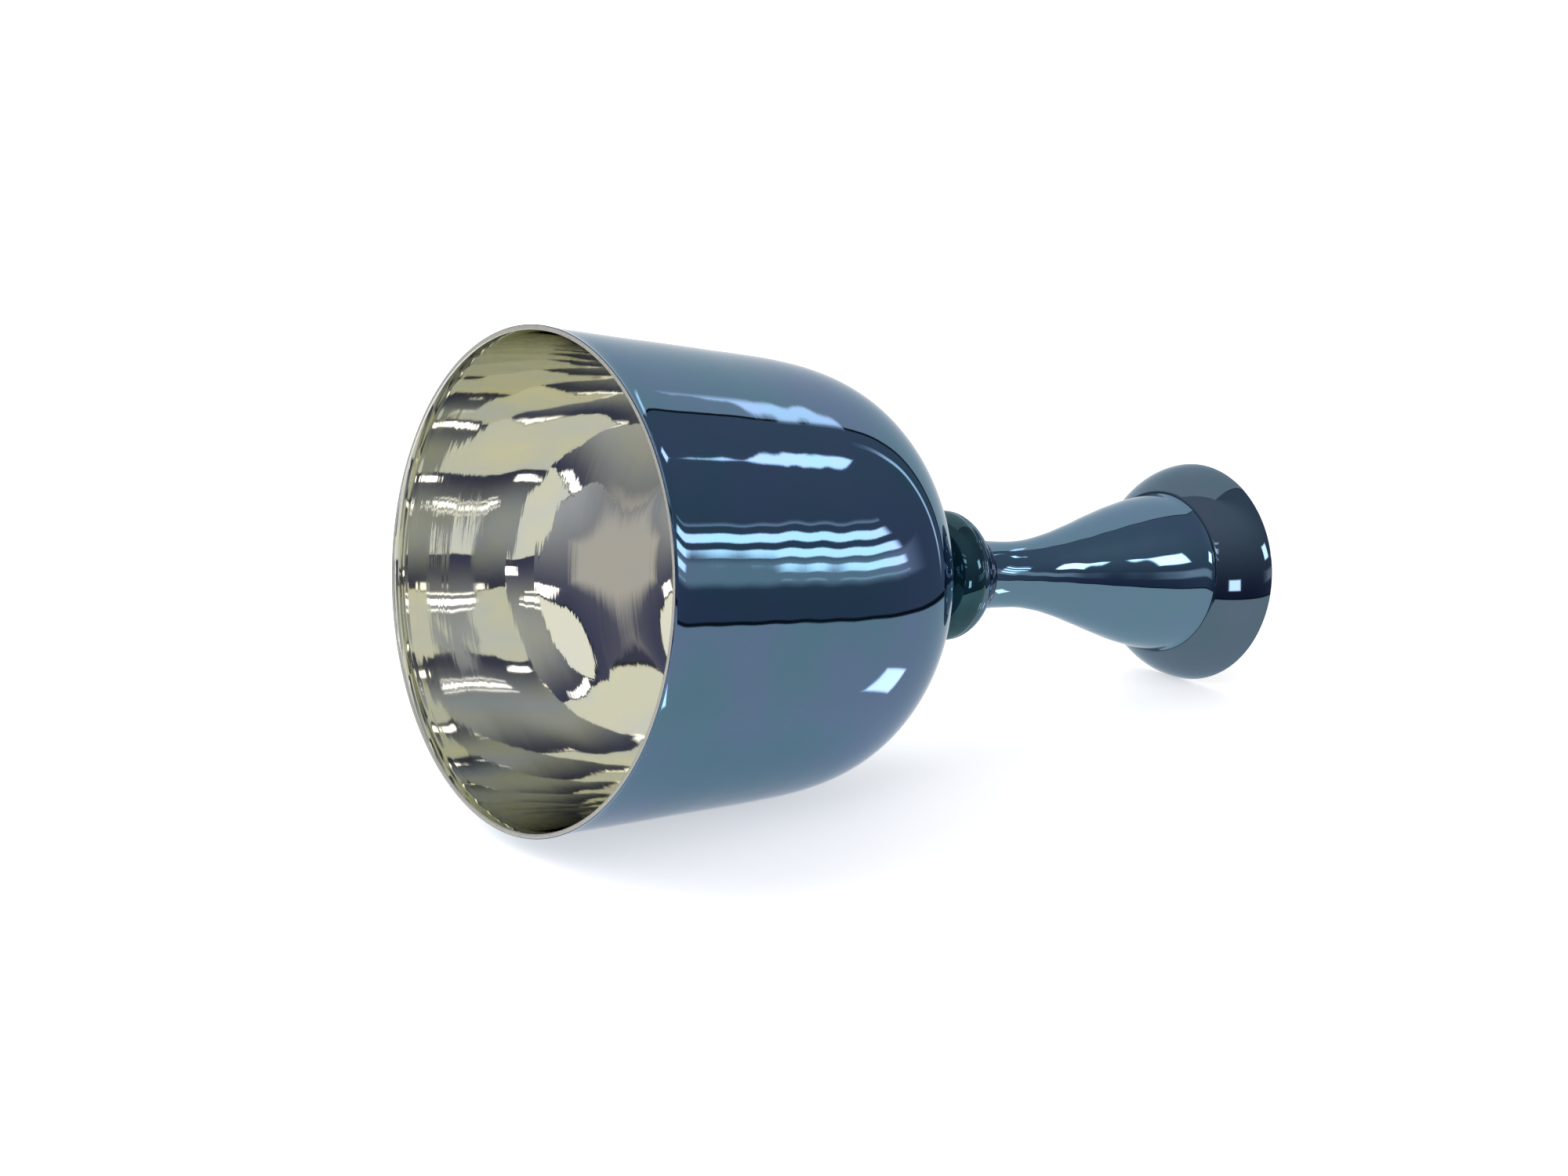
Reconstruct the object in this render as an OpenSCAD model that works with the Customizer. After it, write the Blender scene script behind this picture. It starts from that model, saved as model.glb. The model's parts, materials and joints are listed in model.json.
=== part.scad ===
// Handled glass singing bell, lying on its side.
//
// The bell is blown glass under a thin mirror coat: a tapered cup with a domed
// crown, a deep teal knop and a small bead that join it to the handle, a hollow
// trumpet-shaped handle, and a rounded hollow foot on which it can also stand.
//
// Each piece is an outline of [radius, height] points turned about one axis.
// Heights run along that axis from the ground rim of the mouth, at 0, to the
// rim of the foot. rest_pose() then lays the bell down: the lowest line of the
// cup's shoulder and the rim of the foot touch z = 0, the mouth faces -X, and
// the origin is under the middle of the bell.

/* [Cup] */
// Outer diameter of the mouth, over the lip
mouth_d = 200; // [180:1:220]
// How far the lip stands out from the wall behind it
lip_flare = 0.4; // [0:0.1:1]
// Lean of the straight wall towards the axis, in degrees
wall_taper = 3.94; // [2:0.01:6]
// Thickness of the cup's wall
cup_wall = 2; // [1.5:0.1:4]
// Height at which the straight wall begins to round over
shoulder_h = 85; // [60:1:110]
// Height of the top of the crown
crown_h = 190; // [175:1:200]
// How long the wall stays straight before it turns in: higher is squarer
shoulder_power = 3.96; // [2:0.01:5]
// How full the crown is near the axis: higher is fuller
crown_power = 1.58; // [1.3:0.01:2.2]
// Diameter of the short solid stem that is drawn out of the crown
stem_d = 38; // [30:1:46]

/* [Knop and bead] */
// Height of the middle of the knop
knop_h = 219; // [217:0.5:222]
// Largest diameter of the knop
knop_d = 58; // [50:0.5:66]
// Thickness of the knop along the axis
knop_t = 22; // [16:0.5:24]
// Largest diameter of the bead
bead_d = 40; // [36:0.5:46]
// Thickness of the bead along the axis
bead_t = 7; // [5:0.5:8]

/* [Handle] */
// Height of the slimmest place on the neck
neck_h = 260; // [252:1:270]
// Diameter at the slimmest place on the neck
neck_d = 30; // [26:0.5:34]
// Diameter of the handle where it meets the bead
root_d = 33; // [30:0.5:35]
// Height of the handle's flared end, where it meets the foot
flare_h = 357.6; // [355:0.1:360]
// Diameter of the handle's flared end
flare_d = 74; // [72:0.5:76]
// Thickness of the handle's wall
handle_wall = 3; // [2:0.1:4]

/* [Foot] */
// Height of the rim of the foot, which is the whole length of the bell
foot_h = 381.2; // [378:0.1:386]
// Diameter of the rim of the foot
foot_d = 103.7; // [101:0.1:106]
// Depth of the whole curve of which the foot is the outer part
foot_curve = 44.5; // [43:0.1:46]
// How long the foot stays wide before it turns in
foot_power = 1.58; // [1.5:0.01:1.7]
// How full the foot is where it meets the handle
foot_fullness = 1.5; // [1.4:0.01:1.6]
// Thickness of the foot's wall
foot_wall = 3; // [2:0.1:3.5]

/* [Detail] */
// Points along each long curve
curve_steps = 28; // [16:1:48]
// Width of the small bevel on each ground edge
bevel = 0.3; // [0.1:0.1:0.5]

/* [Hidden] */
$fn = 144;

mouth_r = mouth_d / 2;
lip_h = 6;
taper = tan(wall_taper);
stem_r = stem_d / 2;
stem_fillet = 7;
knop_r = knop_d / 2;
knop_core_r = stem_r;
knop_front_h = knop_h - knop_t / 2;
knop_back_h = knop_h + knop_t / 2;
bead_r = bead_d / 2;
root_h = knop_back_h + bead_t;
neck_r = neck_d / 2;
root_r = root_d / 2;
bead_core_r = root_r;
flare_r = flare_d / 2;
hollow_tip_h = (root_h + neck_h) / 2;
foot_r = foot_d / 2;
seam_depth = foot_h - flare_h;

// An elliptical arc about [r, h], from angle a to angle b.
function arc(r, h, size_r, size_h, a, b, steps) =
    [for (i = [0:steps]) let (t = a + (b - a) * i / steps)
        [r + size_r * cos(t), h + size_h * sin(t)]];

// A superellipse quarter, from its wide end (t = 0) towards the axis (t = 90).
function curve_h(t, power) = pow(sin(t), 2 / power);
function curve_r(t, power) = pow(cos(t), 2 / power);

function reversed(points) = [for (i = [len(points) - 1:-1:0]) points[i]];

// ---- Cup -------------------------------------------------------------------

// Radius of the straight outer wall, carried on over the crown.
function wall_r(h) = mouth_r - lip_flare - taper * h;

// The lip swells out to the mouth's full radius over its first few millimetres.
function lip_r(h) = wall_r(h) + lip_flare * pow(1 - h / lip_h, 2);

// The crown, with its radius and its height both drawn in by inset.
function crown(inset, last_t) =
    [for (i = [1:curve_steps])
        let (
            t = last_t * i / curve_steps,
            h = shoulder_h + (crown_h - inset - shoulder_h) * curve_h(t, shoulder_power)
        )
        [(wall_r(h) - inset) * curve_r(t, crown_power), h]];

// The crown stops where the fillet under the stem takes over from it.
stem_t = acos(pow((stem_r + stem_fillet) / wall_r(crown_h), crown_power / 2));
outer_crown = crown(0, stem_t);
fillet_h = outer_crown[curve_steps - 1].y;

cup_outside = concat(
    [[mouth_r - bevel, 0], [mouth_r, bevel]],
    [for (h = [lip_h / 4:lip_h / 4:lip_h]) [lip_r(h), h]],
    [[wall_r(shoulder_h), shoulder_h]],
    outer_crown
);

stem_outline = concat(
    arc(stem_r + stem_fillet, fillet_h + stem_fillet, -stem_fillet, -stem_fillet, 80, 0, 8),
    [[stem_r, knop_front_h], [0, knop_front_h]]
);

cup_inside = concat(
    [[mouth_r - cup_wall + bevel, 0], [mouth_r - cup_wall, bevel]],
    [[wall_r(lip_h) - cup_wall, lip_h], [wall_r(shoulder_h) - cup_wall, shoulder_h]],
    crown(cup_wall, 90)
);

module bell_cup() {
    color("#5b7d93") rest_pose() rotate_extrude()
        polygon(concat(cup_outside, stem_outline, reversed(cup_inside)));
}

// ---- Knop and bead ---------------------------------------------------------

// A solid disc with a rounded edge and two flat faces, to which its neighbours are fused.
module round_disc(r, core_r, middle_h, thickness) {
    rotate_extrude() polygon(concat(
        [[0, middle_h - thickness / 2]],
        arc(core_r, middle_h, r - core_r, thickness / 2, -90, 90, 20),
        [[0, middle_h + thickness / 2]]
    ));
}

module knop() {
    color("#1d4a54") rest_pose() round_disc(knop_r, knop_core_r, knop_h, knop_t);
}

module bead() {
    color("#2c4358") rest_pose() round_disc(bead_r, bead_core_r, knop_back_h + bead_t / 2, bead_t);
}

// ---- Handle ----------------------------------------------------------------

// Outer radius: it eases in from the root to the neck, then flares and rounds off.
function handle_r(h) = h < neck_h
    ? neck_r + (root_r - neck_r) * pow((neck_h - h) / (neck_h - root_h), 3)
    : let (t = (h - neck_h) / (flare_h - neck_h))
        neck_r + (flare_r - neck_r) * (2.7 * t * t - 1.7 * t * t * t);

handle_outside = [for (i = [0:curve_steps])
    let (h = root_h + (flare_h - root_h) * i / curve_steps) [handle_r(h), h]];

// The hollow is open at the flared end and has a rounded tip in the neck.
handle_inside = concat(
    reversed([for (i = [0:curve_steps])
        let (h = neck_h + (flare_h - neck_h) * i / curve_steps) [handle_r(h) - handle_wall, h]]),
    arc(0, neck_h, neck_r - handle_wall, hollow_tip_h - neck_h, 10, 90, 8)
);

module handle() {
    color("#54748a") rest_pose() rotate_extrude()
        polygon(concat([[0, root_h]], handle_outside, handle_inside));
}

// ---- Foot ------------------------------------------------------------------

// One face of the foot's wall, from its rim to the seam with the handle.
function foot_face(inset) =
    let (
        depth = foot_curve - inset,
        last_t = asin(pow(seam_depth / depth, foot_power / 2))
    )
    [for (i = [1:curve_steps]) let (t = last_t * i / curve_steps)
        [(foot_r - inset) * curve_r(t, foot_fullness), foot_h - depth * curve_h(t, foot_power)]];

foot_outside = concat(
    [[foot_r - bevel, foot_h], [foot_r, foot_h - bevel]],
    [for (p = foot_face(0)) if (p.y < foot_h - 2 * bevel) p]
);

foot_inside = concat(
    [[foot_r - foot_wall + bevel, foot_h], [foot_r - foot_wall, foot_h - bevel]],
    [for (p = foot_face(foot_wall)) if (p.y < foot_h - 2 * bevel) p]
);

module foot() {
    color("#54748a") rest_pose() rotate_extrude()
        polygon(concat(foot_outside, reversed(foot_inside)));
}

// ---- Rest pose -------------------------------------------------------------

// The steepest line that touches the cup and leaves the whole foot above it.
tilt = min([for (f = foot_outside)
    max([for (c = cup_outside) atan2(c.x - f.x, f.y - c.y)])]);

silhouette = concat(cup_outside, foot_outside);
axis_h = max([for (p = silhouette) p.x * cos(tilt) + p.y * sin(tilt)]);
low_x = min([for (p = silhouette) p.y * cos(tilt) - p.x * sin(tilt)]);
high_x = max([for (p = silhouette) p.y * cos(tilt) + p.x * sin(tilt)]);

module rest_pose() {
    translate([-(low_x + high_x) / 2, 0, axis_h]) rotate([0, 90 + tilt, 0]) children();
}

bell_cup();
knop();
bead();
handle();
foot();
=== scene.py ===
"""Looks of a handled singing bell, blown in glass under a thin mirror coat, lying on its side.

The bell is five glass pieces fused end to end on one line: cup, knop, bead, handle and foot. Every
piece here is an outline of [radius, height] points turned about that line, with the faint ripple that
blown glass keeps. Heights run along the line from the ground rim of the mouth to the rim of the foot.
Sizes are in millimetres until Axis.place() puts them into the bell's frame, which is in metres.
"""

import json
import logging
import math
from dataclasses import dataclass, field
from enum import Enum

import bpy
import numpy as np
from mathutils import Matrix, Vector


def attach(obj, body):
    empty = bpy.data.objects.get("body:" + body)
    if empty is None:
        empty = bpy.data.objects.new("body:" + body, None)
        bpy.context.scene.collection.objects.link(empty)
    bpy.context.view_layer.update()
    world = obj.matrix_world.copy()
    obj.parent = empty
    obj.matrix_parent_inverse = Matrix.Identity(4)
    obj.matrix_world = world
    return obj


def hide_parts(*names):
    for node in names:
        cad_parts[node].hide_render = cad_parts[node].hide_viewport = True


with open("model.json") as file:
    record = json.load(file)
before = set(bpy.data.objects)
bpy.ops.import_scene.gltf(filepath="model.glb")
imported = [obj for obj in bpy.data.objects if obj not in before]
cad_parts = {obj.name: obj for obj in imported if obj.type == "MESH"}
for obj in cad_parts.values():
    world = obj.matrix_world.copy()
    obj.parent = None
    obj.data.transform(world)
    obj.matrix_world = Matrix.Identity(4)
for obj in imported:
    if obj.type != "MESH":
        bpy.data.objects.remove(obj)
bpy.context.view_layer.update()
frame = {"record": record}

LOG = logging.getLogger("bell")

MM = 0.001
# A point this close to the bell's line is on it, and a step this short is no step.
ON_LINE_MM = 1e-6
SAME_POINT_MM = 1e-9
# Length that one radian of turning counts for when points are spread along an outline.
TURN_WEIGHT_MM = 30.0
# How often in a metre the finest unevenness of blown glass comes and goes.
PEEL_PER_M = 190.0
# Stretches of a noise's value over which a colour clouds and over which gloss turns to haze.
CLOUDS = (0.35, 0.7)
HAZE = (0.3, 0.8)

Array = np.ndarray
Colour = tuple[float, float, float]


class Face(Enum):
    """Which finish a stretch of a piece's surface takes: the material's place in the mesh.

    A hollow piece has an outside, an inside and a rim. A solid disc has glass and film instead, which
    take the first two places.
    """

    OUTSIDE = 0
    INSIDE = 1
    RIM = 2
    GLASS = 0
    FILM = 1


class SeenBy(Enum):
    """Which rays meet a stage object."""

    CAMERA = "camera"
    REFLECTIONS = "reflections"


# ---- Outlines ------------------------------------------------------------------------------------


def points(radius: Array, height: Array) -> Array:
    """An (n, 2) outline from its radii and its heights."""
    return np.column_stack(np.broadcast_arrays(radius, height)).astype(float)


def arc(middle: tuple[float, float], size: tuple[float, float], start: float, end: float,
        count: int) -> Array:
    """An elliptical arc: middle + size * (cos a, sin a), with a going from start to end.

    Args:
        middle: Radius and height of the arc's centre.
        size: Its half widths along the radius and along the height.
        start: First angle, in degrees.
        end: Last angle, in degrees.
        count: Number of points.

    Returns:
        An (n, 2) outline.
    """
    a = np.radians(np.linspace(start, end, count))
    return points(middle[0] + size[0] * np.cos(a), middle[1] + size[1] * np.sin(a))


def even(outline: Array, count: int) -> Array:
    """Points spread along an outline so that both long and sharply turning stretches have enough.

    The measure that is divided evenly is arc length plus TURN_WEIGHT_MM times the angle turned, in
    radians. The first and last points are kept.

    Args:
        outline: A dense (n, 2) outline.
        count: Number of points to give back.

    Returns:
        A (count, 2) outline.
    """
    step = np.diff(outline, axis=0)
    keep = np.append(np.hypot(*step.T) > SAME_POINT_MM, True)
    outline = outline[keep]
    step = np.diff(outline, axis=0)
    heading = np.unwrap(np.arctan2(step[:, 1], step[:, 0]))
    turned = np.append(np.abs(np.diff(heading)), 0.0)
    measure = np.concatenate([[0.0], np.cumsum(np.hypot(*step.T) + TURN_WEIGHT_MM * turned)])
    at = np.linspace(0.0, measure[-1], count)
    return points(np.interp(at, measure, outline[:, 0]), np.interp(at, measure, outline[:, 1]))


@dataclass(frozen=True)
class Stretch:
    """One stretch of an outline and the finish its surface takes."""

    outline: Array
    face: Face


@dataclass(frozen=True)
class Ripple:
    """The slow unevenness of blown glass, as a depth below the true surface.

    The depth is depth_mm * (1 - w) / 2, where w is a weighted sum of three cosines: one that runs
    round the piece and leans with height, a finer one that leans the other way, and one that mostly
    follows height. Cords, the short drawn-out waves in the glass, add cord_mm * (1 - e * c) / 2, where
    c is a steeply leaning cosine and e fades it out away from cord_h. Neither part is ever negative, so
    a rippled piece stays inside its true outline. Inside full_r_mm the depth shrinks to 0 at the line.
    """

    depth_mm: float
    turns: int = 3
    fine_turns: int = 7
    lean_mm: float = 260.0
    ring_mm: float = 46.0
    phase: float = 0.6
    cord_mm: float = 0.0
    cord_turns: int = 9
    cord_gap_mm: float = 19.0
    cord_h: float = 75.0
    cord_reach_mm: float = 55.0
    full_r_mm: float = 12.0

    def depth(self, angle: Array, height: Array) -> Array:
        """Depth in millimetres at each angle (radians) and height (millimetres)."""
        around = np.cos(self.turns * angle + 2 * np.pi * height / self.lean_mm + self.phase)
        finer = np.cos(self.fine_turns * angle - 4 * np.pi * height / self.lean_mm + 2.1 * self.phase)
        rings = np.cos(2 * np.pi * height / self.ring_mm + angle + 1.3)
        slow = self.depth_mm * (1 - (0.5 * around + 0.2 * finer + 0.3 * rings)) / 2
        near = np.exp(-((height - self.cord_h) / self.cord_reach_mm) ** 2)
        cord = np.cos(self.cord_turns * angle + 2 * np.pi * height / self.cord_gap_mm
                      + 1.4 * np.cos(2 * angle + height / 30.0))
        return slow + self.cord_mm * (1 - near * cord) / 2


# ---- The bell's line and its turned meshes --------------------------------------------------------


@dataclass(frozen=True)
class Axis:
    """The bell's line, with two directions square to it: side is level and under points down."""

    mouth: Array
    along: Array
    side: Array
    under: Array

    @classmethod
    def from_record(cls, record: dict) -> "Axis":
        """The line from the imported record: its mouth_rim mount lies beside the mouth's centre.

        Args:
            record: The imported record.

        Returns:
            The axis, in metres in the row frame.
        """
        mounts = {m["name"]: m for m in record["mounts"]}
        rim = mounts["mouth_rim"]
        mouth = np.array(rim["pos_m"], float)
        mouth[1] = 0.0
        along = -np.array(rim["axis"], float)
        along /= np.linalg.norm(along)
        side = np.array([0.0, 1.0, 0.0])
        return cls(mouth, along, side, np.cross(side, along))

    def place(self, radius: Array, height: Array, angle: Array) -> Array:
        """Points at mouth + height along the line + radius * (cos angle * under + sin angle * side).

        Args:
            radius: Distances from the line, in millimetres.
            height: Heights along it, in millimetres.
            angle: Angles about it, in radians, from the lowest line of the bell.

        Returns:
            An array of points in metres, with one more dimension than the inputs.
        """
        radius, height, angle = np.broadcast_arrays(radius, height, angle)
        out = (np.cos(angle) * radius)[..., None] * self.under
        out = out + (np.sin(angle) * radius)[..., None] * self.side
        return self.mouth + MM * (out + height[..., None] * self.along)


@dataclass
class TurnedPiece:
    """A closed glass piece: an outline turned about the bell's line.

    Attributes:
        name: The piece's name.
        node: The CAD node that it stands for.
        slot: The record's material slot that it matches; it is not used.
        stretches: The outline from its first point on the line, or all the way round a wall.
        segments: Number of steps round the line.
        ripple: The glass's unevenness, or None.
    """

    name: str
    node: str
    slot: str
    stretches: list[Stretch]
    segments: int
    ripple: Ripple | None = None

    def build(self, axis: Axis, materials: list[bpy.types.Material]) -> bpy.types.Object:
        """Makes the mesh and its object, and hangs it on the frame.

        The surface is the grid (outline point i, angle j): radius_i less the ripple at (angle_j,
        height_i), turned to angle_j. Outline points on the line become one shared pole vertex, and
        an outline that never meets the line is joined end to start.

        Args:
            axis: The bell's line.
            materials: One material for each Face, in order.

        Returns:
            The new object.
        """
        outline, faces = self._joined()
        closed = outline[0, 0] > ON_LINE_MM
        angle = np.linspace(0.0, 2 * np.pi, self.segments, endpoint=False)
        radius, height = outline[:, 0][:, None], outline[:, 1][:, None]
        if self.ripple is not None:
            fade = np.clip(radius / self.ripple.full_r_mm, 0.0, 1.0)
            radius = radius - fade * self.ripple.depth(angle[None, :], height)
        grid = axis.place(radius, height, angle[None, :])
        rows = len(outline)
        index = np.arange(rows * self.segments).reshape(rows, self.segments)
        if not closed:
            index[0, :] = index[0, 0]
            index[-1, :] = index[-1, 0]
        here = index if closed else index[:-1]
        there = np.roll(index, -1, axis=0) if closed else index[1:]
        quads = np.stack([here, np.roll(here, -1, 1), np.roll(there, -1, 1), there], -1)
        slots = np.repeat(faces[: len(here)], self.segments)
        return self._mesh(grid.reshape(-1, 3), quads.reshape(-1, 4), slots, materials)

    def _joined(self) -> tuple[Array, Array]:
        """The whole outline, and the finish of the strip that starts at each of its points."""
        outline = np.vstack([s.outline if i == 0 else s.outline[1:]
                             for i, s in enumerate(self.stretches)])
        faces = np.concatenate([np.full(len(s.outline) - 1, s.face.value) for s in self.stretches])
        if outline[0, 0] > ON_LINE_MM and np.allclose(outline[0], outline[-1]):
            outline = outline[:-1]
        return outline, faces

    def _mesh(self, places: Array, quads: Array, slots: Array,
              materials: list[bpy.types.Material]) -> bpy.types.Object:
        """The object from its vertices and quads, with unused pole copies dropped and the sides out."""
        used, quads = np.unique(quads, return_inverse=True)
        quads = quads.reshape(-1, 4)
        places = places[used]
        a, b, c, d = (places[quads[:, k]] for k in range(4))
        middle = places.mean(axis=0)
        volume = np.einsum("ij,ij->", (a + b + c + d) / 4 - middle, np.cross(c - a, d - b))
        if volume < 0:
            quads = quads[:, ::-1]
        same = quads == np.roll(quads, -1, axis=1)
        loops = quads[~same]
        sizes = 4 - same.sum(axis=1)
        mesh = bpy.data.meshes.new(self.name)
        mesh.vertices.add(len(places))
        mesh.vertices.foreach_set("co", places.astype(np.float32).ravel())
        mesh.loops.add(len(loops))
        mesh.loops.foreach_set("vertex_index", loops.astype(np.int32))
        mesh.polygons.add(len(sizes))
        mesh.polygons.foreach_set("loop_start", (np.cumsum(sizes) - sizes).astype(np.int32))
        mesh.polygons.foreach_set("material_index", slots.astype(np.int32))
        mesh.polygons.foreach_set("use_smooth", np.ones(len(sizes), bool))
        mesh.update(calc_edges=True)
        mesh.validate()
        for material in materials:
            mesh.materials.append(material)
        piece = bpy.data.objects.new(self.name, mesh)
        bpy.context.scene.collection.objects.link(piece)
        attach(piece, "root")
        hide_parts(self.node)
        LOG.info("%s: %d faces, stands for %s", self.name, len(sizes), self.node)
        return piece


# ---- Finishes ------------------------------------------------------------------------------------


class Nodes:
    """Short ways to add and join the nodes of one tree."""

    def __init__(self, tree: bpy.types.NodeTree) -> None:
        """Starts from an empty tree."""
        self.tree = tree
        tree.nodes.clear()

    def add(self, kind: str, **settings: object) -> bpy.types.Node:
        """A new node of that type, with its own properties set."""
        node = self.tree.nodes.new(kind)
        for key, value in settings.items():
            setattr(node, key, value)
        return node

    def put(self, value: object, socket: bpy.types.NodeSocket) -> None:
        """Links an output to a socket, or sets the socket's own value."""
        if isinstance(value, bpy.types.NodeSocket):
            self.tree.links.new(value, socket)
        else:
            socket.default_value = value

    def math(self, operation: str, *values: object) -> bpy.types.NodeSocket:
        """One Math node on up to three numbers or outputs."""
        node = self.add("ShaderNodeMath", operation=operation)
        for value, socket in zip(values, node.inputs):
            self.put(value, socket)
        return node.outputs[0]

    def noise(self, where: object, scale: float, detail: float = 2.0) -> bpy.types.NodeSocket:
        """The value of a Noise texture read at where."""
        node = self.add("ShaderNodeTexNoise")
        self.put(where, node.inputs["Vector"])
        self.put(scale, node.inputs["Scale"])
        self.put(detail, node.inputs["Detail"])
        return node.outputs["Fac"]

    def bump(self, height: object, depth_mm: float, strength: float = 1.0,
             under: object = None) -> bpy.types.NodeSocket:
        """The normal of a bump depth_mm deep, laid over another one if there is one."""
        node = self.add("ShaderNodeBump")
        self.put(strength, node.inputs["Strength"])
        self.put(depth_mm * MM, node.inputs["Distance"])
        self.put(height, node.inputs["Height"])
        if under is not None:
            self.put(under, node.inputs["Normal"])
        return node.outputs[0]

    def ramp(self, value: object, low: float, high: float, start: float = 0.0,
             end: float = 1.0) -> bpy.types.NodeSocket:
        """A smooth step: start below low, end above high."""
        node = self.add("ShaderNodeMapRange", interpolation_type="SMOOTHSTEP")
        for number, socket in zip((value, low, high, start, end), node.inputs):
            self.put(number, socket)
        return node.outputs[0]

    def blend(self, share: object, first: object, second: object) -> bpy.types.NodeSocket:
        """Two colours mixed by share."""
        node = self.add("ShaderNodeMix", data_type="RGBA")
        self.put(share, node.inputs["Factor"])
        self.put(rgba(first), node.inputs[6])
        self.put(rgba(second), node.inputs[7])
        return node.outputs[2]


def rgba(colour: object) -> object:
    """A three-number colour with its alpha added; anything else as it is."""
    return (*colour, 1.0) if isinstance(colour, tuple) and len(colour) == 3 else colour


def new_material(name: str) -> tuple[bpy.types.Material, Nodes, bpy.types.Node]:
    """A material with a Principled shader on its output: the material, its nodes and the shader."""
    material = bpy.data.materials.new(name)
    material.use_nodes = True
    nodes = Nodes(material.node_tree)
    shader = nodes.add("ShaderNodeBsdfPrincipled")
    output = nodes.add("ShaderNodeOutputMaterial")
    nodes.put(shader.outputs[0], output.inputs["Surface"])
    return material, nodes, shader


@dataclass(frozen=True)
class MirrorCoat:
    """A thin metal film on polished glass.

    Attributes:
        name: The material's name.
        colour: What it reflects face on, as linear red, green and blue.
        tint: The colour that it drifts to where the film is thicker.
        edge: Its tint at a glancing angle.
        drift_per_m: How many times a metre the film's thickness comes and goes.
        roughness: How far it blurs what it reflects.
        peel_mm: Depth of the finest unevenness that the film follows.
        ring_mm: Depth of the fine rings that turning leaves in the glass under the film.
        rings_per_m: About how many rings there are in a metre along the bell's line.
        breaks_per_m: About how many times a metre a ring breaks off, square to the line.
    """

    name: str
    colour: Colour
    tint: Colour
    edge: Colour
    drift_per_m: float = 22.0
    roughness: float = 0.03
    peel_mm: float = 0.004
    ring_mm: float = 0.003
    rings_per_m: float = 220.0
    breaks_per_m: float = 5.0

    def make(self, axis: Axis) -> bpy.types.Material:
        """The material: metal, with a colour that drifts, fine rings and a very fine peel.

        Args:
            axis: The bell's line, along which the rings follow each other.

        Returns:
            The material.
        """
        material, nodes, shader = new_material(self.name)
        where = nodes.add("ShaderNodeTexCoord").outputs["Object"]
        share = nodes.ramp(nodes.noise(where, self.drift_per_m, 3.0), *CLOUDS)
        nodes.put(nodes.blend(share, self.colour, self.tint), shader.inputs["Base Color"])
        shader.inputs["Metallic"].default_value = 1.0
        haze = nodes.noise(where, 9.0, 4.0)
        nodes.put(nodes.ramp(haze, *HAZE, self.roughness * 0.7, self.roughness * 1.6),
                  shader.inputs["Roughness"])
        shader.inputs["Specular Tint"].default_value = rgba(self.edge)
        peel = nodes.bump(nodes.noise(where, PEEL_PER_M), self.peel_mm)
        rings = nodes.bump(self._rings(nodes, where, axis), self.ring_mm, under=peel)
        nodes.put(rings, shader.inputs["Normal"])
        return material

    def _rings(self, nodes: Nodes, where: object, axis: Axis) -> bpy.types.NodeSocket:
        """A noise that changes quickly along the bell's line and slowly square to it."""
        lined_up = nodes.add("ShaderNodeMapping")
        nodes.put(where, lined_up.inputs["Vector"])
        lined_up.inputs["Rotation"].default_value = (0.0, math.atan2(axis.along[2], axis.along[0]), 0.0)
        drawn_out = nodes.add("ShaderNodeVectorMath", operation="MULTIPLY")
        nodes.put(lined_up.outputs[0], drawn_out.inputs[0])
        drawn_out.inputs[1].default_value = (self.rings_per_m, self.breaks_per_m, self.breaks_per_m)
        return nodes.noise(drawn_out.outputs[0], 1.0, 3.0)


@dataclass(frozen=True)
class GroundGlass:
    """A cut and ground edge: pale, satin, with the fine marks of the wheel."""

    name: str
    colour: Colour
    shade: Colour
    roughness: float = 0.34
    shine: float = 0.35
    grain_per_m: float = 900.0
    grain_mm: float = 0.02
    grain_strength: float = 0.6

    def make(self) -> bpy.types.Material:
        """The material: satin glass with grain in its colour and its height."""
        material, nodes, shader = new_material(self.name)
        where = nodes.add("ShaderNodeTexCoord").outputs["Object"]
        grain = nodes.noise(where, self.grain_per_m, 4.0)
        cloud = nodes.noise(where, 30.0, 3.0)
        nodes.put(nodes.blend(cloud, self.colour, self.shade), shader.inputs["Base Color"])
        nodes.put(nodes.ramp(grain, 0.2, 0.8, self.roughness * 0.7, self.roughness * 1.3),
                  shader.inputs["Roughness"])
        shader.inputs["Metallic"].default_value = self.shine
        nodes.put(nodes.bump(grain, self.grain_mm, self.grain_strength), shader.inputs["Normal"])
        return material


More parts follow.
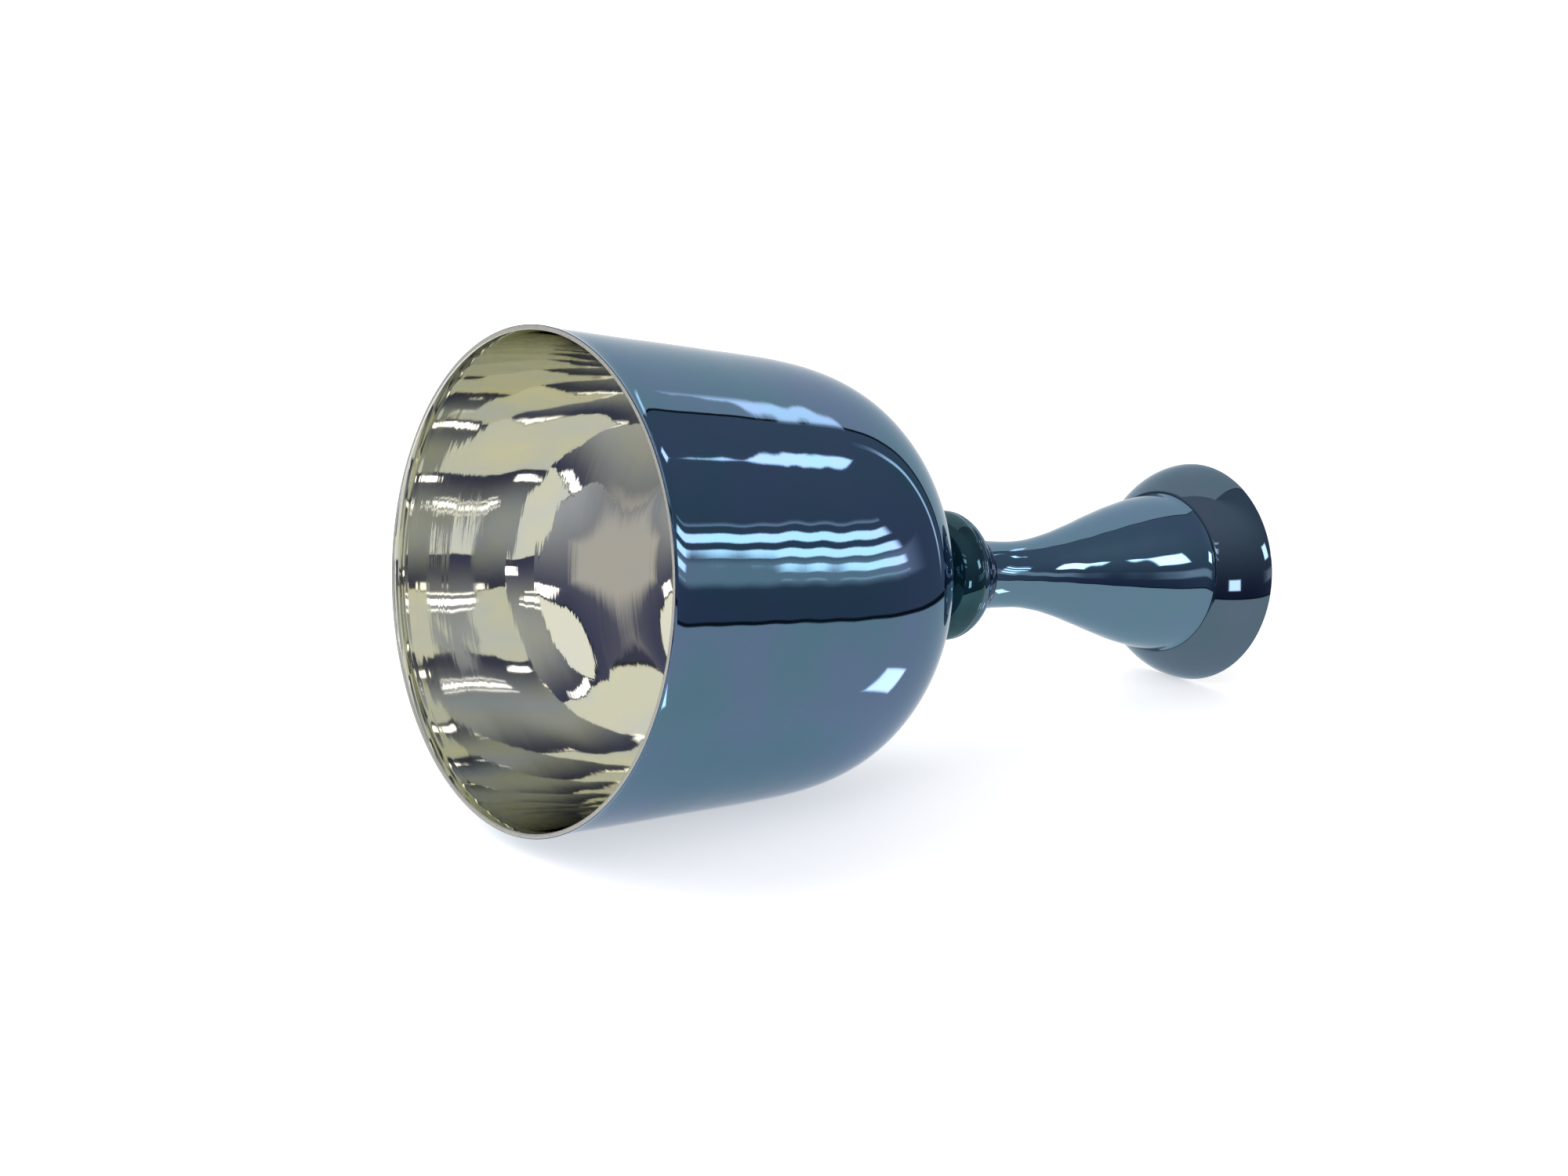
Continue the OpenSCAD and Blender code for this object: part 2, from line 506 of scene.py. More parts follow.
@dataclass(frozen=True)
class DeepGlass:
    """Deep coloured glass under a dark film.

    Attributes:
        name: The material's name.
        colour: The glass's colour, as linear red, green and blue.
        cloud: The colour of the clouds in it.
        edge: Its tint at a glancing angle.
        film: How far it reflects as a metal does.
        roughness: How far it blurs what it reflects.
        skin: Weight of the clear glossy skin.
        skin_roughness: How far the skin blurs what it reflects.
        peel_mm: Depth of the finest unevenness of the surface.
    """

    name: str
    colour: Colour
    cloud: Colour
    edge: Colour
    film: float = 0.8
    roughness: float = 0.035
    skin: float = 0.35
    skin_roughness: float = 0.02
    peel_mm: float = 0.004

    def make(self) -> bpy.types.Material:
        """The material: a dark, mostly metallic film with a clear skin over it."""
        material, nodes, shader = new_material(self.name)
        where = nodes.add("ShaderNodeTexCoord").outputs["Object"]
        cloud = nodes.noise(where, 45.0, 3.0)
        nodes.put(nodes.blend(nodes.ramp(cloud, *CLOUDS), self.colour, self.cloud),
                  shader.inputs["Base Color"])
        nodes.put(nodes.ramp(cloud, *HAZE, self.roughness * 0.8, self.roughness * 1.5),
                  shader.inputs["Roughness"])
        shader.inputs["Metallic"].default_value = self.film
        shader.inputs["Specular Tint"].default_value = rgba(self.edge)
        shader.inputs["Coat Weight"].default_value = self.skin
        shader.inputs["Coat Roughness"].default_value = self.skin_roughness
        nodes.put(nodes.bump(nodes.noise(where, PEEL_PER_M), self.peel_mm), shader.inputs["Normal"])
        return material


# ---- The bell's pieces ---------------------------------------------------------------------------


@dataclass
class Cup:
    """The cup: a tapered wall under a domed crown, drawn out at the top into a short solid stem."""

    mouth_r: float = 100.0
    lip_flare: float = 0.4
    lip_h: float = 6.0
    taper_deg: float = 3.94
    wall: float = 2.0
    shoulder_h: float = 85.0
    crown_h: float = 190.0
    shoulder_power: float = 3.96
    crown_power: float = 1.58
    stem_r: float = 19.0
    fillet_r: float = 7.0
    stem_end_h: float = 208.0
    edge_r: float = 0.3
    segments: int = 272
    ripple: Ripple = field(default_factory=lambda: Ripple(0.22, cord_mm=0.032))
    coat: MirrorCoat = MirrorCoat(
        "blue_mirror", colour=(0.086, 0.172, 0.236), tint=(0.106, 0.160, 0.262),
        edge=(0.75, 0.82, 0.88))
    lining: MirrorCoat = MirrorCoat(
        "champagne_mirror", colour=(0.87, 0.86, 0.76), tint=(0.81, 0.825, 0.835),
        edge=(0.97, 0.97, 0.97), drift_per_m=11.0, ring_mm=0.03)
    edge: GroundGlass = GroundGlass(
        "ground_rim", colour=(0.50, 0.49, 0.41), shade=(0.42, 0.41, 0.35))

    def wall_r(self, height: Array) -> Array:
        """Radius of the straight outer wall, carried on over the crown."""
        return self.mouth_r - self.lip_flare - math.tan(math.radians(self.taper_deg)) * height

    def crown(self, inset: float) -> Array:
        """A quarter of a superellipse drawn in with the taper, from the shoulder to the line.

        With u the share of the way from the shoulder to the top, the radius is the wall's radius less
        inset, times (1 - u ** shoulder_power) ** (1 / crown_power).
        """
        t = np.radians(np.concatenate([np.geomspace(0.002, 2.0, 400), np.linspace(2.0, 90.0, 2400)[1:]]))
        share = np.sin(t) ** (2 / self.shoulder_power)
        height = self.shoulder_h + (self.crown_h - inset - self.shoulder_h) * share
        shrink = np.clip(np.cos(t), 0.0, 1.0) ** (2 / self.crown_power)
        radius = (self.wall_r(height) - inset) * shrink
        radius[-1] = 0.0
        return points(radius, height)

    def outside(self) -> Array:
        """Rim edge, lip, wall, crown, and a fillet that leaves the crown's slope for the stem's.

        The lip adds lip_flare * (1 - height / lip_h) ** 2 to the wall's radius.
        """
        rim = arc((self.mouth_r - self.edge_r, self.edge_r), (self.edge_r, self.edge_r), -90, 0, 12)
        lip_h = np.linspace(self.edge_r, self.lip_h, 200)
        lip = points(self.wall_r(lip_h) + self.lip_flare * (1 - lip_h / self.lip_h) ** 2, lip_h)
        wall_h = np.linspace(self.lip_h, self.shoulder_h, 600)
        crown = self.crown(0.0)
        step = np.gradient(crown, axis=0)
        slope = np.arctan2(step[:, 1], -step[:, 0])
        start = crown[:, 0] - self.fillet_r * (1 - np.sin(slope))
        last = int(np.argmin(np.abs(start - self.stem_r)))
        lean = slope[last]
        middle = crown[last] + self.fillet_r * np.array([math.sin(lean), math.cos(lean)])
        fillet = arc(tuple(middle), (-self.fillet_r, -self.fillet_r), 90 - math.degrees(lean), 0, 80)
        stem = points(np.full(40, fillet[-1, 0]), np.linspace(fillet[-1, 1], self.stem_end_h, 40))
        return np.vstack([rim, lip, points(self.wall_r(wall_h), wall_h), crown[:last], fillet, stem])

    def inside(self) -> Array:
        """The inner face from the line at the crown down to the rim."""
        inner_r = self.mouth_r - self.wall
        rim = arc((inner_r + self.edge_r, self.edge_r), (self.edge_r, self.edge_r), 270, 180, 12)
        lip_r = self.wall_r(self.lip_h) - self.wall
        lip_h = np.linspace(self.edge_r, self.lip_h, 100)
        lip = points(lip_r + (inner_r - lip_r) * (1 - lip_h / self.lip_h) ** 2, lip_h)
        wall_h = np.linspace(self.lip_h, self.shoulder_h, 600)
        face = np.vstack([rim, lip, points(self.wall_r(wall_h) - self.wall, wall_h),
                          self.crown(self.wall)])
        return face[::-1]

    def build(self, axis: Axis) -> bpy.types.Object:
        """The cup, with blue outside, champagne inside and a ground rim."""
        inside = self.inside()
        outside = self.outside()
        top = points(np.array([outside[-1, 0], 0.0]), np.full(2, self.stem_end_h))
        stretches = [
            Stretch(even(inside, 160), Face.INSIDE),
            Stretch(np.vstack([inside[-1], outside[0]]), Face.RIM),
            Stretch(even(outside, 190), Face.OUTSIDE),
            Stretch(top, Face.OUTSIDE),
        ]
        piece = TurnedPiece("cup_glass", "bell_cup", "blue_mirror_glass", stretches, self.segments,
                            self.ripple)
        return piece.build(axis, [self.coat.make(axis), self.lining.make(axis), self.edge.make()])


@dataclass
class Disc:
    """A solid disc with a rounded edge: the knop or the bead, filmed over on the side of the foot.

    With a the angle round the edge, from -90 degrees on the mouth's side to 90 on the foot's, the
    radius is core_r + (disc_r - core_r) * cos a, less a shallow groove where the film begins, and the
    height is middle_h + thickness / 2 * sin a.
    """

    name: str
    node: str
    disc_r: float
    core_r: float
    middle_h: float
    thickness: float
    glass: DeepGlass
    film: MirrorCoat
    ripple: Ripple
    film_from_deg: float = 6.0
    groove_mm: float = 0.3
    groove_deg: float = 5.0
    segments: int = 288
    edge_points: int = 70

    def edge(self, start: float, end: float) -> Array:
        """The stretch of the edge between two angles, in degrees."""
        half = self.thickness / 2
        round_edge = arc((self.core_r, self.middle_h), (self.disc_r - self.core_r, half), start, end,
                         self.edge_points)
        angle = np.linspace(start, end, self.edge_points)
        round_edge[:, 0] -= self.groove_mm * np.exp(-((angle - self.film_from_deg) / self.groove_deg) ** 2)
        return round_edge

    def build(self, axis: Axis) -> bpy.types.Object:
        """The disc as one closed piece."""
        front = self.edge(-90.0, self.film_from_deg)
        back = self.edge(self.film_from_deg, 90.0)
        stretches = [
            Stretch(np.vstack([[0.0, front[0, 1]], front]), Face.GLASS),
            Stretch(np.vstack([back, [0.0, back[-1, 1]]]), Face.FILM),
        ]
        piece = TurnedPiece(self.name, self.node, "teal_glass", stretches, self.segments, self.ripple)
        return piece.build(axis, [self.glass.make(), self.film.make(axis)])


@dataclass
class Handle:
    """The hollow handle: it eases in from the bead to a neck, then flares like a trumpet."""

    root_h: float = 237.0
    root_r: float = 16.5
    neck_h: float = 260.0
    neck_r: float = 15.0
    flare_h: float = 357.6
    flare_r: float = 37.0
    seam_lift: float = 0.8
    seam_mm: float = 6.0
    wall: float = 3.0
    segments: int = 288
    ripple: Ripple = field(default_factory=lambda: Ripple(
        0.12, turns=2, fine_turns=5, lean_mm=150.0, ring_mm=34.0, phase=1.9,
        cord_mm=0.06, cord_turns=3, cord_gap_mm=15.0, cord_h=300.0))

    def radius(self, height: Array) -> Array:
        """Outer radius before the seam's fillet: a cubic ease to the neck, then a flare.

        With t the share of the way from the neck to the seam, the flare is (flare_r - neck_r) *
        (2.7 * t ** 2 - 1.7 * t ** 3).
        """
        ease = np.clip((self.neck_h - height) / (self.neck_h - self.root_h), 0.0, 1.0)
        t = np.clip((height - self.neck_h) / (self.flare_h - self.neck_h), 0.0, 1.0)
        flare = (self.flare_r - self.neck_r) * (2.7 * t**2 - 1.7 * t**3)
        return self.neck_r + (self.root_r - self.neck_r) * ease**3 + flare

    def fillet(self, height: Array) -> Array:
        """The outer face's rise to the seam: seam_lift * s ** 3, s being the share of the last seam_mm."""
        share = np.clip((height - self.flare_h) / self.seam_mm + 1.0, 0.0, 1.0)
        return self.seam_lift * share**3

    def build(self, axis: Axis, outside: bpy.types.Material,
              inside: bpy.types.Material) -> bpy.types.Object:
        """The handle, coated outside and in."""
        outer_h = np.linspace(self.root_h, self.flare_h, 900)
        outer = points(self.radius(outer_h) + self.fillet(outer_h), outer_h)
        inner_h = np.linspace(self.flare_h, self.neck_h, 700)
        tip_h = (self.root_h - self.neck_h) / 2
        tip = arc((0.0, self.neck_h), (self.neck_r - self.wall, tip_h), 0, 90, 60)
        tip[-1, 0] = 0.0
        inner = np.vstack([points(self.radius(inner_h) - self.wall, inner_h), tip])
        stretches = [
            Stretch(np.vstack([[0.0, self.root_h], outer[0]]), Face.OUTSIDE),
            Stretch(even(outer, 110), Face.OUTSIDE),
            Stretch(np.vstack([outer[-1], inner[0]]), Face.OUTSIDE),
            Stretch(even(inner, 80), Face.INSIDE),
        ]
        piece = TurnedPiece("handle_glass", "handle", "blue_mirror_glass", stretches, self.segments,
                            self.ripple)
        return piece.build(axis, [outside, inside])


@dataclass
class Foot:
    """The rounded hollow foot, on whose rim the bell can also stand.

    Each face is the outer part of a quarter superellipse: radius rim_r * cos(t) ** (2 / fullness) and
    height rim_h - depth * sin(t) ** (2 / power), from the rim to the seam with the handle.
    """

    rim_h: float = 381.2
    rim_r: float = 51.85
    depth: float = 44.5
    power: float = 1.58
    fullness: float = 1.5
    wall: float = 3.0
    seam_h: float = 357.6
    edge_r: float = 0.5
    segments: int = 320
    ripple: Ripple = field(default_factory=lambda: Ripple(
        0.14, turns=2, fine_turns=6, lean_mm=120.0, ring_mm=30.0, phase=0.2))

    def face(self, inset: float) -> Array:
        """One face of the foot's wall, drawn in by inset, from its rim to the seam."""
        depth = self.depth - inset
        last = math.asin(((self.rim_h - self.seam_h) / depth) ** (self.power / 2))
        t = np.linspace(0.0, last, 1200)
        return points((self.rim_r - inset) * np.cos(t) ** (2 / self.fullness),
                      self.rim_h - depth * np.sin(t) ** (2 / self.power))

    def build(self, axis: Axis, outside: bpy.types.Material, inside: bpy.types.Material,
              edge: bpy.types.Material) -> bpy.types.Object:
        """The foot, coated outside and in, with a ground rim."""
        outer, inner = self.face(0.0), self.face(self.wall)
        outer_arc = arc((self.rim_r - self.edge_r, self.rim_h - self.edge_r),
                        (self.edge_r, self.edge_r), 90, 0, 10)
        inner_arc = arc((self.rim_r - self.wall + self.edge_r, self.rim_h - self.edge_r),
                        (self.edge_r, self.edge_r), 180, 90, 10)
        outer = np.vstack([outer_arc, outer[outer[:, 1] < self.rim_h - 1.2 * self.edge_r]])
        inner = np.vstack([inner[inner[:, 1] < self.rim_h - 1.2 * self.edge_r][::-1], inner_arc])
        stretches = [
            Stretch(even(outer, 84), Face.OUTSIDE),
            Stretch(np.vstack([outer[-1], inner[0]]), Face.OUTSIDE),
            Stretch(even(inner, 64), Face.INSIDE),
            Stretch(np.vstack([inner[-1], outer[0]]), Face.RIM),
        ]
        piece = TurnedPiece("foot_glass", "foot", "blue_mirror_glass", stretches, self.segments,
                            self.ripple)
        return piece.build(axis, [outside, inside, edge])


@dataclass
class Bell:
    """The whole bell, from the mouth to the foot."""

    cup: Cup = field(default_factory=Cup)
    knop: Disc = field(default_factory=lambda: Disc(
        "knop_glass", "knop", disc_r=29.0, core_r=19.0, middle_h=219.0, thickness=22.0,
        glass=DeepGlass("knop_teal", colour=(0.010, 0.050, 0.066), cloud=(0.020, 0.086, 0.108),
                        edge=(0.40, 0.55, 0.60)),
        film=MirrorCoat("knop_film", colour=(0.095, 0.160, 0.205), tint=(0.105, 0.155, 0.215),
                        edge=(0.6, 0.68, 0.78), drift_per_m=60.0),
        ripple=Ripple(0.16, turns=3, fine_turns=5, lean_mm=90.0, ring_mm=24.0, phase=0.9)))
    bead: Disc = field(default_factory=lambda: Disc(
        "bead_glass", "bead", disc_r=20.0, core_r=16.5, middle_h=233.5, thickness=7.0,
        glass=DeepGlass("bead_teal", colour=(0.040, 0.062, 0.100), cloud=(0.055, 0.088, 0.130),
                        edge=(0.50, 0.58, 0.72)),
        film=MirrorCoat("bead_film", colour=(0.075, 0.095, 0.140), tint=(0.100, 0.098, 0.160),
                        edge=(0.6, 0.65, 0.78), drift_per_m=80.0),
        ripple=Ripple(0.08, turns=2, fine_turns=5, lean_mm=90.0, ring_mm=24.0, phase=2.2),
        groove_mm=0.0, edge_points=36))
    handle: Handle = field(default_factory=Handle)
    foot: Foot = field(default_factory=Foot)
    # Painted light: the handle's coat is a lighter copy of the cup's blue mirror coat, so the handle reads
    # brighter than the cup.
    handle_coat_painted_light: MirrorCoat = MirrorCoat(
        "blue_mirror_handle_painted_light", colour=(0.113, 0.208, 0.275), tint=(0.122, 0.200, 0.295),
        edge=(0.72, 0.80, 0.86), drift_per_m=40.0)
    # Painted shade: the foot's coat is a darker, greyer copy of the cup's blue mirror coat, so the foot
    # reads darker than the cup.
    foot_coat_painted_shade: MirrorCoat = MirrorCoat(
        "blue_mirror_foot_painted_shade", colour=(0.088, 0.140, 0.182), tint=(0.100, 0.142, 0.198),
        edge=(0.72, 0.80, 0.86), drift_per_m=50.0)
    # Painted shade: the hollows of the handle and foot take a darker copy of the cup's champagne lining.
    hollow: MirrorCoat = MirrorCoat(
        "champagne_mirror_hollow_painted_shade", colour=(0.50, 0.49, 0.37), tint=(0.46, 0.46, 0.41),
        edge=(0.95, 0.95, 0.92), drift_per_m=40.0)
    edge: GroundGlass = GroundGlass(
        "ground_foot_rim", colour=(0.56, 0.55, 0.46), shade=(0.48, 0.48, 0.41))

    def build(self, axis: Axis) -> None:
        """Every piece, in order along the line."""
        self.cup.build(axis)
        self.knop.build(axis)
        self.bead.build(axis)
        # The darker champagne copy, painted shade inside the handle and foot.
        inside = self.hollow.make(axis)
        # The handle's lighter coat is painted light; the foot's darker coat is painted shade.
        self.handle.build(axis, self.handle_coat_painted_light.make(axis), inside)
        self.foot.build(axis, self.foot_coat_painted_shade.make(axis), inside, self.edge.make())


# ---- Studio --------------------------------------------------------------------------------------


@dataclass(frozen=True)
class SoftPanel:
    """A plain light panel with soft edges, as the bell sees it.

    Attributes:
        bearing: Degrees from +Y towards +X to its middle.
        rise: Degrees above the horizon to its middle.
        wide: Width in degrees.
        tall: Height in degrees.
        glow: Its radiance, where the white sweep is 1.
        soft: Share of its half size over which its edge fades.
        slats: Number of level bright bars that its louvres leave, or 0 for an open panel.
    """

    bearing: float
    rise: float
    wide: float
    tall: float
    glow: float
    soft: float = 0.3
    slats: int = 0


@dataclass
class Surroundings:
    """What the bell reflects in a plain studio.

    A white sweep stands behind it and a pale table lies under it. The rest of the studio is unlit: dark
    near the table, lighter towards the ceiling, and lit a little beside the sweep, whose light spills
    there. Soft panels stand round it. Bearings and rises are in degrees.
    """

    seam_bearing: float = 20.0
    sweep_from: float = 345.0
    sweep_to: float = 80.0
    table_rise: float = -14.0
    white: Colour = (1.0, 1.0, 1.0)
    table: Colour = (0.98, 0.98, 0.97)
    low: Colour = (0.06, 0.065, 0.14)
    high: Colour = (0.50, 0.52, 0.57)
    spill: Colour = (0.26, 0.29, 0.36)
    spill_share: float = 0.75
    spill_from: float = 110.0
    spill_to: float = 190.0
    dark_rise: float = -15.0
    light_rise: float = 70.0
    edge_deg: float = 0.4
    blurred_edge_deg: float = 2.0
    gap: Colour = (0.02, 0.03, 0.04)
    gap_deg: float = 1.3
    panel_colour: Colour = (1.04, 1.0, 1.06)
    panels: tuple[SoftPanel, ...] = (
        SoftPanel(bearing=75, rise=35, wide=15, tall=3, glow=3.5, soft=0.6),
        SoftPanel(bearing=89, rise=12, wide=2.5, tall=44, glow=2.6, soft=0.5),
        SoftPanel(bearing=102, rise=34, wide=8, tall=3, glow=5.0, soft=0.4),
        SoftPanel(bearing=138, rise=4, wide=66, tall=12, glow=0.9, soft=0.6),
        SoftPanel(bearing=125, rise=10, wide=14, tall=20, glow=5.0, soft=0.4, slats=4),
        SoftPanel(bearing=155, rise=24, wide=14, tall=14, glow=7.0),
        SoftPanel(bearing=205, rise=0, wide=12, tall=12, glow=6.0),
        SoftPanel(bearing=230, rise=34, wide=24, tall=20, glow=3.6, slats=2),
        SoftPanel(bearing=270, rise=15, wide=50, tall=30, glow=0.5, soft=0.5),
        SoftPanel(bearing=310, rise=-8, wide=22, tall=10, glow=2.6),
        SoftPanel(bearing=115, rise=-36, wide=12, tall=9, glow=6.0),
    )

    def build(self) -> None:
        """The world shader: the unlit side, the sweep, the table, then the panels.

        Bearing is the angle of (x, y) from +Y towards +X, wrapped to start at seam_bearing. Rise is
        the arc sine of z.
        """
        world = bpy.data.worlds.new("plain_studio")
        bpy.context.scene.world = world
        world.use_nodes = True
        nodes = Nodes(world.node_tree)
        split = nodes.add("ShaderNodeSeparateXYZ")
        nodes.put(nodes.add("ShaderNodeTexCoord").outputs["Generated"], split.inputs[0])
        x, y, z = split.outputs
        turn = nodes.math("MULTIPLY", nodes.math("ARCTAN2", x, y), math.degrees(1))
        bearing = nodes.math("WRAP", turn, self.seam_bearing + 360, self.seam_bearing)
        rise = nodes.math("MULTIPLY", nodes.math("ARCSINE", z), math.degrees(1))
        colour = nodes.blend(nodes.ramp(rise, self.dark_rise, self.light_rise), self.low, self.high)
        beside = nodes.ramp(bearing, self.spill_to, self.spill_from, 0.0, self.spill_share)
        colour = nodes.blend(beside, colour, self.spill)
        past_sweep = nodes.math("SUBTRACT", bearing, self.sweep_to)
        on_sweep = nodes.math("MAXIMUM", nodes.ramp(past_sweep, self.edge_deg, -self.edge_deg),
                              nodes.ramp(bearing, self.sweep_from - self.blurred_edge_deg,
                                         self.sweep_from + self.blurred_edge_deg))
        colour = nodes.blend(on_sweep, colour, self.white)
        colour = nodes.blend(self._gap(nodes, past_sweep), colour, self.gap)
        above = nodes.math("SUBTRACT", rise, self.table_rise)
        beside_sweep = nodes.math("SUBTRACT", 1.0, on_sweep)
        colour = nodes.blend(nodes.ramp(above, self.edge_deg, -self.edge_deg), colour, self.table)
        edge = nodes.math("MULTIPLY", self._gap(nodes, above), beside_sweep)
        colour = nodes.blend(edge, colour, self.gap)
        for panel in self.panels:
            colour = self._with_panel(nodes, colour, panel, bearing, rise)
        background = nodes.add("ShaderNodeBackground")
        nodes.put(colour, background.inputs["Color"])
        output = nodes.add("ShaderNodeOutputWorld")
        nodes.put(background.outputs[0], output.inputs["Surface"])

    def _gap(self, nodes: Nodes, past: object) -> bpy.types.NodeSocket:
        """The share of a thin dark line that starts at an edge and is gap_deg wide."""
        off = nodes.math("ABSOLUTE", nodes.math("SUBTRACT", past, self.gap_deg / 2))
        return nodes.ramp(off, self.gap_deg * 0.75, self.gap_deg * 0.3)

    def _with_panel(self, nodes: Nodes, colour: object, panel: SoftPanel, bearing: object,
                    rise: object) -> bpy.types.NodeSocket:
        """The colour with one panel over it: full where max(|b|, |r|), in half sizes, is under 1 - soft."""
        across = nodes.math("DIVIDE", nodes.math("SUBTRACT", bearing, panel.bearing), panel.wide / 2)
        up = nodes.math("DIVIDE", nodes.math("SUBTRACT", rise, panel.rise), panel.tall / 2)
        reach = nodes.math("MAXIMUM", nodes.math("ABSOLUTE", across), nodes.math("ABSOLUTE", up))
        share = nodes.ramp(reach, 1.0, 1.0 - panel.soft)
        if panel.slats:
            wave = nodes.math("COSINE", nodes.math("MULTIPLY", up, math.pi * panel.slats))
            share = nodes.math("MULTIPLY", share, nodes.ramp(wave, -0.5, 0.3))
        return nodes.blend(share, colour, tuple(panel.glow * c for c in self.panel_colour))


@dataclass(frozen=True)
class SoftBox:
    """One square area lamp that faces the bell: its middle and side in metres, its power in watts."""

    name: str
    place: tuple[float, float, float]
    size: float
    power: float


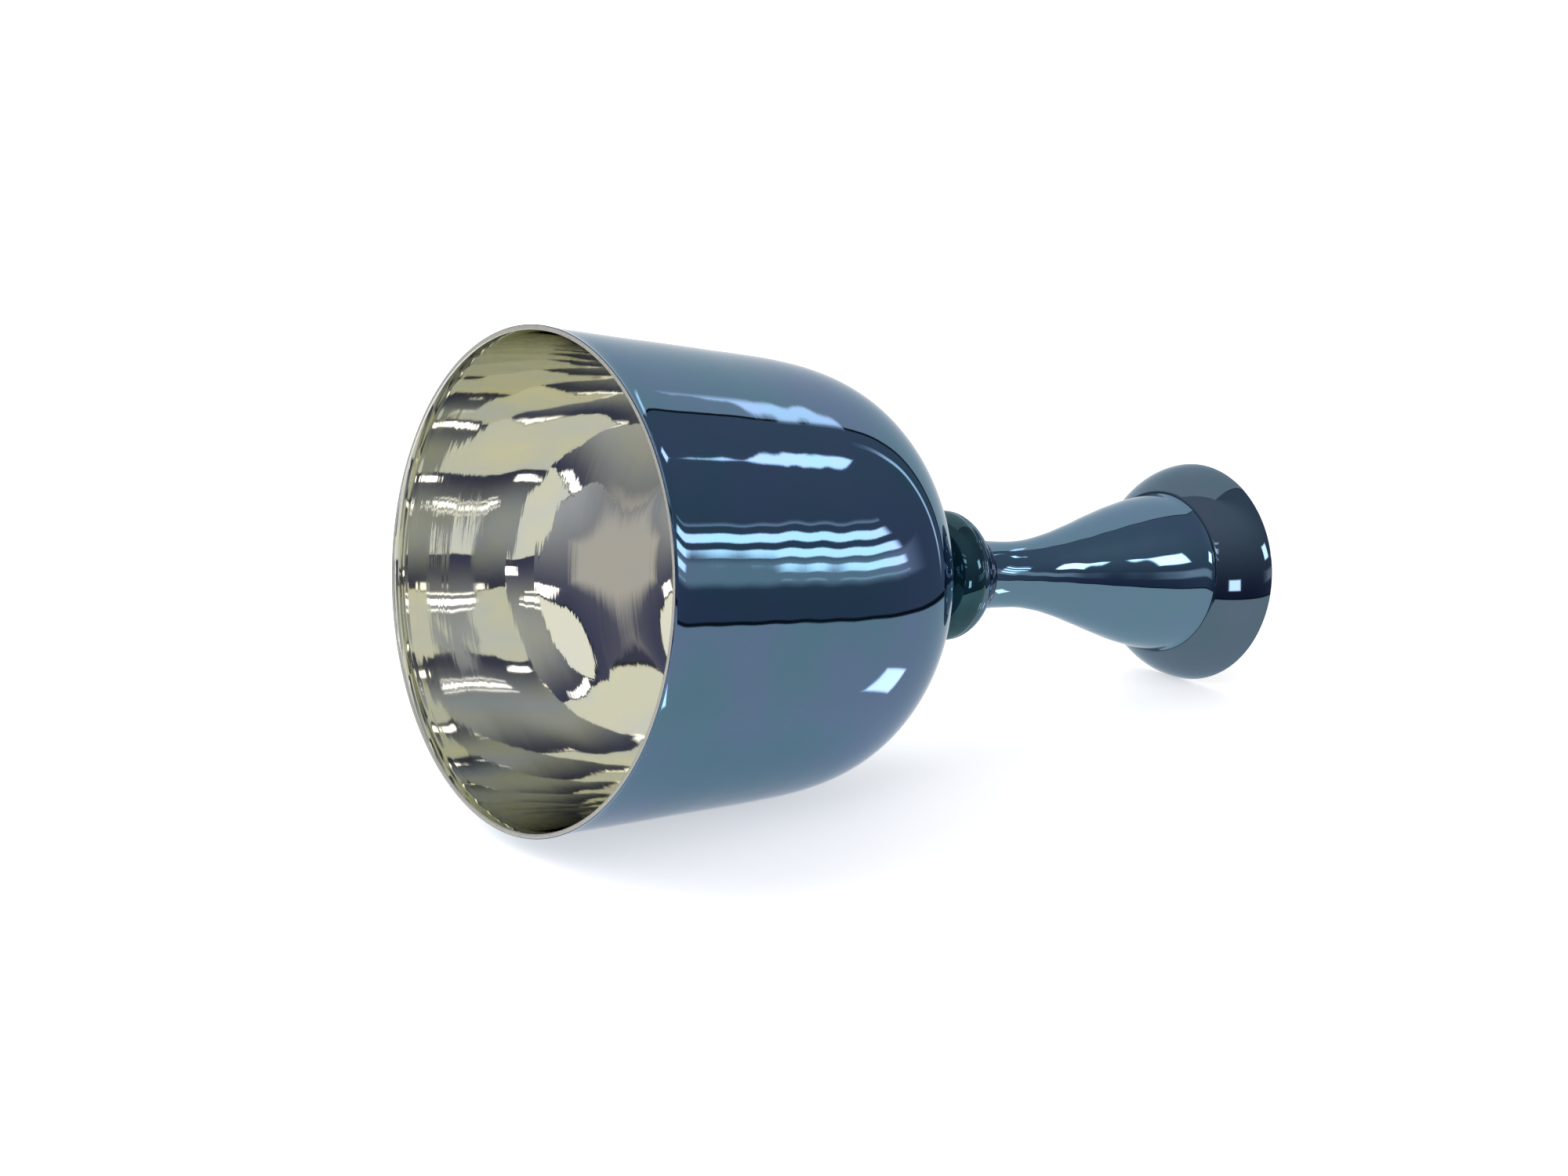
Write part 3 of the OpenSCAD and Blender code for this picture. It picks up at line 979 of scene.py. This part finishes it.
@dataclass
class Studio:
    """Camera, pale floor and sweep, soft light, and the plain studio that the bell reflects."""

    aim: tuple[float, float, float] = (-0.0558, 0.0, 0.0836)
    distance: float = 1.0886
    azimuth: float = -38.133
    elevation: float = 14.849
    lens: float = 59.4
    floor_r: float = 3.0
    bend_r: float = 1.2
    sweep_h: float = 4.0
    sides: int = 96
    table_x: float = -0.09
    table_r: float = 0.14
    floor_glow: float = 0.50
    wall_glow: float = 1.0
    paper_tone: float = 0.86
    mirror_bounces: int = 24
    lamps: tuple[SoftBox, ...] = (
        SoftBox("top_softbox", place=(-0.9, 0.9, 1.2), size=2.0, power=24.0),
        SoftBox("side_softbox", place=(-1.4, -1.0, 1.0), size=1.4, power=12.0),
    )
    surroundings: Surroundings = field(default_factory=Surroundings)

    def build(self) -> None:
        """The whole stage."""
        self._camera()
        self._sweep()
        self._table()
        for lamp in self.lamps:
            self._lamp(lamp)
        self.surroundings.build()
        view = bpy.context.scene.view_settings
        view.view_transform = "Standard"
        view.look = "None"
        light_paths = bpy.context.scene.cycles
        light_paths.max_bounces = self.mirror_bounces
        light_paths.glossy_bounces = self.mirror_bounces

    def _camera(self) -> None:
        """The camera, distance metres from aim, at its azimuth and elevation."""
        data = bpy.data.cameras.new("camera")
        data.lens = self.lens
        data.sensor_width = 36.0
        data.clip_start, data.clip_end = 0.01, 100.0
        camera = bpy.data.objects.new("camera", data)
        a, e = math.radians(self.azimuth), math.radians(self.elevation)
        back = Vector((math.sin(a) * math.cos(e), -math.cos(a) * math.cos(e), math.sin(e)))
        camera.location = Vector(self.aim) + back * self.distance
        camera.rotation_mode = "QUATERNION"
        camera.rotation_quaternion = (-back).to_track_quat("-Z", "Y")
        bpy.context.scene.collection.objects.link(camera)
        bpy.context.scene.camera = camera

    def _sweep(self) -> None:
        """A floor that curves up into a wall all round: radius and height on one quarter circle."""
        a = np.linspace(0.0, np.pi / 2, 24)
        flat_r = np.array([0.0, 0.6, 1.2])
        bend_r = self.floor_r - self.bend_r + self.bend_r * np.sin(a)
        bend_h = self.bend_r * (1 - np.cos(a))
        radius = np.concatenate([flat_r, bend_r, [self.floor_r]])
        height = np.concatenate([np.zeros(len(flat_r)), bend_h, [self.sweep_h]])
        self._stage_mesh("studio_sweep", self._rings(0.0, radius, height), SeenBy.CAMERA)

    def _table(self) -> None:
        """The floor close under the bell, which only reflections see, so the bell mirrors its shadow."""
        radius = np.linspace(0.0, self.table_r, 8)
        grid = self._rings(self.table_x, radius, np.zeros(len(radius)))
        self._stage_mesh("table_top", grid, SeenBy.REFLECTIONS)

    def _rings(self, middle_x: float, radius: Array, height: Array) -> Array:
        """A (rings, sides, 3) grid of level rings round the upright line at middle_x."""
        angle = np.linspace(0.0, 2 * np.pi, self.sides, endpoint=False)
        return np.stack([middle_x + radius[:, None] * np.cos(angle), radius[:, None] * np.sin(angle),
                         np.broadcast_to(height[:, None], (len(height), self.sides))], -1)

    def _stage_mesh(self, name: str, grid: Array, seen: SeenBy) -> None:
        """A round stage surface from a (rings, sides, 3) grid."""
        rings, count = grid.shape[:2]
        index = np.arange(rings * count).reshape(rings, count)
        here, there = index[:-1], index[1:]
        quads = np.stack([here, there, np.roll(there, -1, 1), np.roll(here, -1, 1)], -1).reshape(-1, 4)
        mesh = bpy.data.meshes.new(name)
        mesh.from_pydata(grid.reshape(-1, 3).tolist(), [], quads.tolist())
        mesh.polygons.foreach_set("use_smooth", np.ones(len(quads), bool))
        mesh.materials.append(self._paper(name, seen))
        surface = bpy.data.objects.new(name, mesh)
        bpy.context.scene.collection.objects.link(surface)
        camera = seen is SeenBy.CAMERA
        surface.visible_camera = camera
        surface.visible_glossy = not camera
        surface.visible_transmission = not camera
        surface.visible_diffuse = False
        surface.visible_shadow = False

    def _paper(self, name: str, seen: SeenBy) -> bpy.types.Material:
        """Matt white paper that also glows, which is painted light: the sweep glows less on the floor near
        the bell than out on the wall, and the part that reflections see glows evenly and fades out towards
        its edge.
        """
        material, nodes, shader = new_material(f"{name}_paper")
        shader.inputs["Roughness"].default_value = 0.9
        shader.inputs["Specular IOR Level"].default_value = 0.1
        shader.inputs["Base Color"].default_value = rgba((self.paper_tone,) * 3)
        shader.inputs["Emission Color"].default_value = (1.0, 1.0, 1.0, 1.0)
        local = nodes.add("ShaderNodeMapping", vector_type="TEXTURE")
        nodes.put(nodes.add("ShaderNodeTexCoord").outputs["Object"], local.inputs["Vector"])
        far = nodes.add("ShaderNodeVectorMath", operation="LENGTH")
        nodes.put(local.outputs[0], far.inputs[0])
        if seen is SeenBy.CAMERA:
            # Painted light: the sweep glows floor_glow near the bell, rising to wall_glow out on the wall.
            nodes.put(nodes.ramp(far.outputs["Value"], 0.45, 1.0, self.floor_glow, self.wall_glow),
                      shader.inputs["Emission Strength"])
            return material
        # Painted light: the table glows as much as the floor near the bell.
        shader.inputs["Emission Strength"].default_value = self.floor_glow
        local.inputs["Location"].default_value = (self.table_x, 0.0, 0.0)
        local.inputs["Scale"].default_value = (self.table_r,) * 3
        nodes.put(nodes.ramp(far.outputs["Value"], 0.98, 0.45), shader.inputs["Alpha"])
        return material

    def _lamp(self, box: SoftBox) -> None:
        """A soft box that lights the floor but doesn't show in the glass."""
        data = bpy.data.lights.new(box.name, "AREA")
        data.energy = box.power
        data.size = box.size
        lamp = bpy.data.objects.new(box.name, data)
        lamp.location = box.place
        lamp.rotation_mode = "QUATERNION"
        lamp.rotation_quaternion = (Vector(self.aim) - Vector(box.place)).to_track_quat("-Z", "Y")
        lamp.visible_glossy = False
        lamp.visible_camera = False
        bpy.context.scene.collection.objects.link(lamp)


def main() -> None:
    """Builds the studio and the bell."""
    logging.basicConfig(level=logging.INFO, format="%(name)s: %(message)s")
    Studio().build()
    LOG.info("studio: camera, sweep, table, lamps and surroundings")
    Bell().build(Axis.from_record(frame["record"]))


if __name__ == "__main__":
    main()
